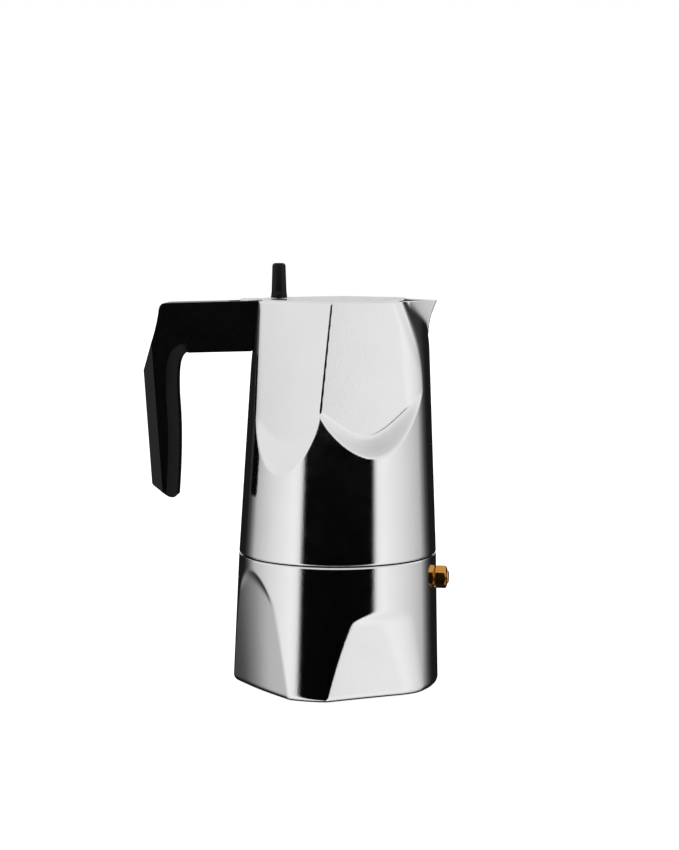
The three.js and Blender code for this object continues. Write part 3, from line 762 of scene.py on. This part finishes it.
# ---------------------------------------------------------------- lid and knob
def lid():
    angles = around()
    edge = lid_radius(angles, LID_INSET, LID_FRONT_X)
    top, low = LID_TOP_Z, LID_LOW_Z
    levels = [(0.35, 0), (0.1, 0.1), (0, 0.35)]
    rows = [(0.0, low), (edge * 0.5, low), (edge - 0.8, low)]
    rows += [(edge - inset, low + rise) for inset, rise in levels]
    rows += [(edge - inset, top - rise) for inset, rise in reversed(levels)]
    rows += [(edge - 0.8, top), (edge * 0.5, top), (0.0, top)]
    rings = [ring_at(radius, z, angles, lean_at(CONE_TOP_Z)) for radius, z in rows]
    disc = grid_object("lid_plate", rings, False)
    half = TONGUE_HALF
    tongue = block("tongue", (TONGUE_END_X, -half, low), (TONGUE_ROOT_X, half, top))
    rounded_edges(tongue, 0.3)
    web = block("web", (HINGE_X - KNUCKLE_R, -half, HINGE_Z), (HINGE_X + KNUCKLE_R, half, low + 0.5))
    knuckle = rod("knuckle", KNUCKLE_R, -half, half, 48, along_y(HINGE_X, HINGE_Z))
    pin_hole = rod("hole", HINGE_PIN_R + GAP, -20, 20, 32, along_y(HINGE_X, HINGE_Z))
    screw_hole = rod("hole", KNOB_SCREW_R + GAP, low - 1, top + 1, 32, upright(KNOB_X))
    plate = cut(join(disc, tongue, web, knuckle), pin_hole, screw_hole)
    sharpen(plate, 40)
    return plate


def lid_hinge_pin():
    low, high = -HANDLE_HALF, HINGE_PIN_END
    profile = [(0, low), (HINGE_PIN_R, low), (HINGE_PIN_R, high), (0, high)]
    return turned("hinge_pin", profile, 48, 0.2, along_y(HINGE_X, HINGE_Z))


def knob():
    """A slender taper on a slightly flared foot, hollow below for its insert."""
    socket, socket_top = INSERT_R + GAP, KNOB_BASE_Z + 9
    profile = [(0, socket_top), (socket, socket_top), (socket, KNOB_BASE_Z), (3.75, KNOB_BASE_Z)]
    profile += [(3.35, KNOB_BASE_Z + 3), (3, KNOB_TOP_Z - 0.9), (2.3, KNOB_TOP_Z), (0, KNOB_TOP_Z)]
    return turned("lid_knob", profile, 96, 0.5, upright(KNOB_X))


def knob_insert():
    bore = KNOB_SCREW_R + GAP
    low, high = KNOB_BASE_Z + 0.4, KNOB_BASE_Z + 8.4
    profile = [(bore, low), (INSERT_R, low), (INSERT_R, high), (bore, high)]
    return turned("knob_nut", profile, 48, 0.15, upright(KNOB_X), closed=True)


def screw(name, x, shaft, head, head_low, head_high, end):
    """A slotted screw that points up, with its head below."""
    profile = [(0, head_low), (head, head_low), (head, head_high)]
    profile += [(shaft, head_high), (shaft, end), (0, end)]
    blank = turned(name, profile, 72, 0.35, upright(x))
    slot = block("slot", (x - head - 1, -0.4, head_low - 1), (x + head + 1, 0.4, head_low + 0.8))
    return cut(blank, slot)


def knob_screw():
    shaft, head = KNOB_SCREW_R, KNOB_SCREW_HEAD_R
    head_high = LID_LOW_Z - GAP
    return screw("knob_fixing", KNOB_X, shaft, head, head_high - 1.6, head_high, KNOB_BASE_Z + 7.5)


# ---------------------------------------------------------------- handle
OUTER_CHAMFER = 5.4
INNER_CHAMFER = 4.4
OUTER_EDGE = [(-82.7, 156.4), (-87.7, 142), (-84.3, 90.6)]
INNER_FOOT = (-72.7, 85.3)
INNER_MIDDLE = (-72.2, 130)
INNER_TOP = (-67, 150.2)


def handle_screw():
    shaft, head = HANDLE_SCREW_R, HANDLE_SCREW_HEAD_R
    low, seat = HANDLE_SCREW_HEAD_Z, HANDLE_SCREW_SEAT_Z
    return screw("handle_fixing", HANDLE_SCREW_X, shaft, head, low, seat, LUG_HIGH_Z - 3)


def bezier(*points, steps=12):
    """Points of a Bezier curve after its first one."""
    degree = len(points) - 1
    result = []
    for step in range(1, steps + 1):
        t = step / steps
        weights = [math.comb(degree, i) * t**i * (1 - t) ** (degree - i) for i in range(degree + 1)]
        result.append(tuple(sum(w * p[axis] for w, p in zip(weights, points)) for axis in (0, 1)))
    return result


def rear_x(z):
    return -rear_distance(z, 0) + lean_at(z) - GAP


def handle_inner_edge():
    lower = bezier(INNER_FOOT, (-70.6, 112), INNER_MIDDLE, steps=14)
    upper = bezier(INNER_MIDDLE, (-72.6, 144), (-72, 150), INNER_TOP, steps=14)
    return [INNER_FOOT, *lower, *upper]


def handle_outline():
    outline = [(rear_x(ARM_TOP_Z), ARM_TOP_Z), (-77, 172.5)]
    outline += bezier((-77, 172.5), (-79.2, 172.3), (-79.7, 169.5), steps=6)
    outline += bezier((-79.7, 169.5), (-80.8, 162.5), OUTER_EDGE[0], steps=8)
    outline += OUTER_EDGE[1:]
    outline.append((-83.7, 89.7))
    outline += bezier((-83.7, 89.7), (-78, 86.8), (-76.4, 85.2), steps=8)
    outline += bezier((-76.4, 85.2), (-74, 83.6), INNER_FOOT, steps=8)
    outline += handle_inner_edge()[1:]
    outline.append((rear_x(ARM_UNDER_Z), ARM_UNDER_Z))
    return outline


def edge_cutter(path, chamfer, outward, side):
    """A triangular prism along a path that takes a 45 degree corner off the grip."""
    section = [(-chamfer - 1, HANDLE_HALF + 1), (1, HANDLE_HALF - chamfer - 1), (1, HANDLE_HALF + 1)]
    points = []
    for i, (x, z) in enumerate(path):
        before = Vector(path[max(i - 1, 0)])
        after = Vector(path[min(i + 1, len(path) - 1)])
        along = (after - before).normalized()
        normal = Vector((along.y, -along.x)) * outward
        for depth, y in section:
            points.append((x + normal.x * depth, y * side, z + normal.y * depth))
    faces = [(0, 1, 2), tuple(len(points) - k for k in (1, 2, 3))]
    for i in range(len(path) - 1):
        a = i * 3
        for k in range(3):
            n = (k + 1) % 3
            faces.append((a + k, a + 3 + k, a + 3 + n, a + n))
    return facing_out(new_object("cutter", points, faces))


def handle():
    grip = prism("handle_grip", handle_outline(), -HANDLE_HALF, HANDLE_HALF)
    top, low = Vector(OUTER_EDGE[1]), Vector(OUTER_EDGE[2])
    run = (top - low) / (top - low).length
    outer_path = [tuple(low - run * 12), tuple(top + run * 22)]
    inner_path = [(-72.9, 76), *handle_inner_edge()[:-1], (-66.5, 150.25)]
    for side in (1, -1):
        outer = edge_cutter(outer_path, OUTER_CHAMFER, -1, side)
        inner = edge_cutter(inner_path, INNER_CHAMFER, 1, side)
        cut(grip, outer, inner)
    cut(grip, *handle_hollows())
    return rounded_edges(grip, 0.45)


def handle_hollows():
    """Room for the lug, the lid's tongue, the hinge pin and the screw."""
    lug, tongue = LUG_HALF + GAP, TONGUE_HALF + GAP
    pin_low, pin_high = -HANDLE_HALF - 5, HINGE_PIN_END + GAP
    screw_r, head_r = HANDLE_SCREW_R + GAP, HANDLE_SCREW_HEAD_R + GAP
    return [
        block("pocket", (LUG_END_X - GAP, -lug, LUG_LOW_Z - GAP), (-30, lug, LUG_HIGH_Z + GAP)),
        block("slot", (SLOT_END_X, -tongue, HINGE_Z - TONGUE_SWEEP), (-30, tongue, 180)),
        rod("hole", HINGE_PIN_R + GAP, pin_low, pin_high, 32, along_y(HINGE_X, HINGE_Z)),
        rod("hole", screw_r, 140, LUG_LOW_Z, 32, upright(HANDLE_SCREW_X)),
        rod("hole", head_r, 140, HANDLE_SCREW_SEAT_Z + GAP, 48, upright(HANDLE_SCREW_X)),
    ]


# ---------------------------------------------------------------- finishes
def node_material(name):
    material = bpy.data.materials.new(name)
    material.use_nodes = True
    nodes, links = material.node_tree.nodes, material.node_tree.links
    shader = nodes["Principled BSDF"]
    place = nodes.new("ShaderNodeTexCoord")
    return material, nodes, links, shader, place.outputs["Object"]


def noise(nodes, links, place, scale, detail=3.0, roughness=0.5):
    texture = nodes.new("ShaderNodeTexNoise")
    texture.inputs["Scale"].default_value = scale
    texture.inputs["Detail"].default_value = detail
    texture.inputs["Roughness"].default_value = roughness
    links.new(place, texture.inputs["Vector"])
    return texture.outputs["Fac"]


def ramp(nodes, links, value, stops, target):
    node = nodes.new("ShaderNodeValToRGB")
    elements = node.color_ramp.elements
    while len(elements) < len(stops):
        elements.new(0.5)
    for element, (position, color) in zip(elements, stops):
        element.position = position
        element.color = (*color, 1) if len(color) == 3 else (color[0], color[0], color[0], 1)
    links.new(value, node.inputs["Fac"])
    links.new(node.outputs["Color"], target)
    return node


def between(nodes, links, value, low, high, target):
    """A number that a texture moves between two values."""
    node = nodes.new("ShaderNodeMapRange")
    node.inputs["From Min"].default_value = 0.3
    node.inputs["From Max"].default_value = 0.7
    node.inputs["To Min"].default_value = low
    node.inputs["To Max"].default_value = high
    links.new(value, node.inputs["Value"])
    links.new(node.outputs["Result"], target)


def bump(nodes, links, height, distance, shader):
    node = nodes.new("ShaderNodeBump")
    node.inputs["Strength"].default_value = 1.0
    node.inputs["Distance"].default_value = distance * MM
    links.new(height, node.inputs["Height"])
    links.new(node.outputs["Normal"], shader.inputs["Normal"])


def metal(name, dark, light, smooth, rough, grain, depth):
    """Colour and roughness vary in soft patches, under a fine grain that is `depth` mm deep."""
    material, nodes, links, shader, place = node_material(name)
    shader.inputs["Metallic"].default_value = 1.0
    cloud = noise(nodes, links, place, 60, 4)
    ramp(nodes, links, cloud, [(0.3, dark), (0.7, light)], shader.inputs["Base Color"])
    patches = noise(nodes, links, place, 200, 3)
    between(nodes, links, patches, smooth, rough, shader.inputs["Roughness"])
    bump(nodes, links, noise(nodes, links, place, grain, 2), depth, shader)
    return material


def plastic():
    material, nodes, links, shader, place = node_material("black plastic")
    shader.inputs["Specular IOR Level"].default_value = 0.2
    cloud = noise(nodes, links, place, 80, 3)
    ramp(nodes, links, cloud, [(0.3, (0.001, 0.001, 0.001)), (0.7, (0.0018, 0.0017, 0.0017))],
         shader.inputs["Base Color"])
    between(nodes, links, noise(nodes, links, place, 500, 2), 0.2, 0.27, shader.inputs["Roughness"])
    bump(nodes, links, noise(nodes, links, place, 1500, 2), 0.004, shader)
    return material


def rubber():
    material, nodes, links, shader, place = node_material("white rubber")
    cloud = noise(nodes, links, place, 150, 4)
    ramp(nodes, links, cloud, [(0.3, (0.62, 0.6, 0.55)), (0.7, (0.72, 0.7, 0.65))],
         shader.inputs["Base Color"])
    between(nodes, links, cloud, 0.6, 0.75, shader.inputs["Roughness"])
    bump(nodes, links, noise(nodes, links, place, 900, 2), 0.02, shader)
    return material


# Each metal's name, darker and lighter colour, lowest and highest roughness, grain scale and depth.
METALS = {
    "polished": (
        "polished aluminium", (0.9, 0.9, 0.91), (0.93, 0.93, 0.935), 0.055, 0.085, 1700, 0.017,
    ),
    "lid": ("satin aluminium", (0.9, 0.9, 0.905), (0.94, 0.94, 0.94), 0.2, 0.28, 2500, 0.004),
    "spun": ("spun aluminium", (0.74, 0.74, 0.75), (0.82, 0.82, 0.83), 0.28, 0.4, 2500, 0.006),
    "brass": ("brass", (0.8, 0.36, 0.06), (0.88, 0.43, 0.1), 0.16, 0.24, 1500, 0.004),
    "steel": ("stainless steel", (0.6, 0.6, 0.62), (0.68, 0.68, 0.7), 0.25, 0.35, 2500, 0.004),
}


def finishes():
    looks = {key: metal(*values) for key, values in METALS.items()}
    looks["plastic"] = plastic()
    looks["rubber"] = rubber()
    return looks


# ---------------------------------------------------------------- light, floor and camera
CAMERA_DISTANCE = 0.8996
CAMERA_HEIGHT = 0.2063
AIM_HEIGHT = 0.1173
AIM_ASIDE = 0.00086
CAMERA_TURN = math.radians(4)  # of the camera, from -Y towards +X
LENS = 84.7


def camera():
    back = Vector((math.sin(CAMERA_TURN), -math.cos(CAMERA_TURN), 0))
    right = Vector((math.cos(CAMERA_TURN), math.sin(CAMERA_TURN), 0))
    data = bpy.data.cameras.new("camera")
    data.lens = LENS
    data.sensor_width = 36
    data.clip_start = 0.01
    data.clip_end = 100
    cam = bpy.data.objects.new("camera", data)
    bpy.context.scene.collection.objects.link(cam)
    cam.location = back * CAMERA_DISTANCE + Vector((0, 0, CAMERA_HEIGHT))
    aim = right * AIM_ASIDE + Vector((0, 0, AIM_HEIGHT))
    cam.rotation_mode = "QUATERNION"
    cam.rotation_quaternion = (aim - cam.location).to_track_quat("-Z", "Y")
    bpy.context.scene.camera = cam


# How bright the room is at an angle from the camera, as seen from the pot: dark round the camera,
# white panels at the sides that fall off to grey, and dark again behind.
ROOM = [
    (0, 0.0012), (39.5, 0.002), (41.5, 0.09), (44.5, 0.68), (48, 0.86), (54, 0.91), (64, 0.85),
    (82, 0.74), (100, 0.6), (113, 0.48), (119, 0.26), (127, 0.07), (137, 0.012), (180, 0.008),
]
# How bright the overhead light is at the sine of an elevation.
CEILING = [(0.0, 0.82), (0.5, 0.8), (1.0, 0.6)]
# The sine of the elevation at which the overhead light starts, at an angle from the camera.
LEDGE = [(0, 0.03), (112, 0.03), (123, 0.34), (158, 0.34), (166, 0.0), (180, 0.0)]
LEDGE_FADE = 0.13  # in the sine of the elevation
FLOOR_GLOW = 0.75


def calculate(nodes, links, kind, operation, value, other=None):
    """A math node, "Math" or "VectorMath", on a value and perhaps a fixed number or vector."""
    node = nodes.new("ShaderNode" + kind)
    node.operation = operation
    links.new(value, node.inputs[0])
    if other is not None:
        node.inputs[1].default_value = other
    return node


def share_of_half_turn(nodes, links, direction):
    """The horizontal angle between a direction and the camera: 0 towards it and 1 away from it."""
    flat = calculate(nodes, links, "VectorMath", "MULTIPLY", direction, (1, 1, 0))
    level = calculate(nodes, links, "VectorMath", "NORMALIZE", flat.outputs["Vector"])
    toward = (math.sin(CAMERA_TURN), -math.cos(CAMERA_TURN), 0)
    cosine = calculate(nodes, links, "VectorMath", "DOT_PRODUCT", level.outputs["Vector"], toward)
    angle = calculate(nodes, links, "Math", "ARCCOSINE", cosine.outputs["Value"])
    return calculate(nodes, links, "Math", "DIVIDE", angle.outputs["Value"], math.pi).outputs["Value"]


def by_angle(table):
    return [(angle / 180, (value,)) for angle, value in table]


def room_light(nodes, links):
    """The sides' light, mixed with the overhead light above the ledge."""
    direction = nodes.new("ShaderNodeTexCoord").outputs["Generated"]
    turn = share_of_half_turn(nodes, links, direction)
    height = nodes.new("ShaderNodeSeparateXYZ")
    links.new(direction, height.inputs[0])
    light = nodes.new("ShaderNodeMix")
    light.data_type = "RGBA"
    ramp(nodes, links, turn, by_angle(ROOM), light.inputs["A"])
    ramp(nodes, links, height.outputs["Z"], [(z, (value,)) for z, value in CEILING], light.inputs["B"])
    above = calculate(nodes, links, "Math", "SUBTRACT", height.outputs["Z"])
    ramp(nodes, links, turn, by_angle(LEDGE), above.inputs[1])
    overhead = nodes.new("ShaderNodeMapRange")
    overhead.interpolation_type = "SMOOTHSTEP"
    overhead.inputs["From Max"].default_value = LEDGE_FADE
    links.new(above.outputs["Value"], overhead.inputs["Value"])
    links.new(overhead.outputs["Result"], light.inputs["Factor"])
    return light.outputs["Result"]


def studio():
    """The room as the pot reflects it, behind a plain white backdrop for the camera."""
    world = bpy.data.worlds.new("studio")
    bpy.context.scene.world = world
    world.use_nodes = True
    nodes, links = world.node_tree.nodes, world.node_tree.links
    room = nodes["Background"]
    links.new(room_light(nodes, links), room.inputs["Color"])
    backdrop = nodes.new("ShaderNodeBackground")
    backdrop.inputs["Color"].default_value = (1, 1, 1, 1)
    path = nodes.new("ShaderNodeLightPath")
    either = nodes.new("ShaderNodeMixShader")
    links.new(path.outputs["Is Camera Ray"], either.inputs["Fac"])
    links.new(room.outputs["Background"], either.inputs[1])
    links.new(backdrop.outputs["Background"], either.inputs[2])
    links.new(either.outputs["Shader"], nodes["World Output"].inputs["Surface"])


def floor():
    half = 4000
    corners = [(-half, -half, 0), (half, -half, 0), (half, half, 0), (-half, half, 0)]
    obj = new_object("floor", corners, [(0, 1, 2, 3)])
    obj.location.z = -0.0003
    obj.visible_glossy = False
    material, nodes, links, shader, place = node_material("floor")
    cloud = noise(nodes, links, place, 2, 2)
    ramp(nodes, links, cloud, [(0.3, (0.9,)), (0.7, (0.92,))], shader.inputs["Base Color"])
    shader.inputs["Roughness"].default_value = 0.9
    shader.inputs["Emission Color"].default_value = (1, 1, 1, 1)
    shader.inputs["Emission Strength"].default_value = FLOOR_GLOW
    obj.data.materials.append(material)


# ---------------------------------------------------------------- assembly
def finish_piece(obj, body, nodes, slot, *materials):
    obj.data.materials.clear()
    for material in materials:
        obj.data.materials.append(material)
    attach(obj, body)
    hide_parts(*nodes)


def assemble():
    look = finishes()
    # Each piece, the body it moves with, the CAD nodes it replaces, its slot and its finishes.
    pieces = [
        (boiler(), "boiler", ["boiler"], "polished_aluminium", "polished", "spun"),
        (valve_body(), "boiler", ["valve_body"], "brass", "brass"),
        (valve_washer(), "boiler", ["valve_washer"], "brass", "brass"),
        (valve_cap(), "boiler", ["valve_cap"], "brass", "brass"),
        (valve_plunger(), "plunger", ["valve_plunger"], "stainless_steel", "steel"),
        (funnel(), "funnel", ["funnel"], "spun_aluminium", "spun"),
        (funnel_stem(), "funnel", ["funnel_stem"], "spun_aluminium", "spun"),
        (strainer(), "funnel", ["funnel_strainer"], "spun_aluminium", "spun"),
        (gasket(), "seal", ["gasket"], "gasket_rubber", "rubber"),
        (filter_plate(), "seal", ["filter_plate"], "spun_aluminium", "spun"),
        (upper_chamber(), "upper", ["upper_chamber"], "polished_aluminium", "polished", "spun"),
        (coffee_column(), "upper", ["coffee_column"], "spun_aluminium", "spun"),
        (lid(), "lid", ["lid"], "polished_aluminium", "lid"),
        (lid_hinge_pin(), "upper", ["lid_hinge_pin"], "stainless_steel", "steel"),
        (knob(), "lid", ["knob"], "black_plastic", "plastic"),
        (knob_insert(), "lid", ["knob_insert"], "brass", "brass"),
        (knob_screw(), "lid", ["knob_screw"], "stainless_steel", "steel"),
        (handle(), "upper", ["handle"], "black_plastic", "plastic"),
        (handle_screw(), "upper", ["handle_screw"], "stainless_steel", "steel"),
    ]
    for obj, body, nodes, slot, *names in pieces:
        finish_piece(obj, body, nodes, slot, *[look[name] for name in names])
    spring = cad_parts["valve_spring"]
    spring.data.materials.clear()
    spring.data.materials.append(look["steel"])


assemble()
floor()
studio()
camera()
bpy.context.scene.view_settings.view_transform = "Standard"
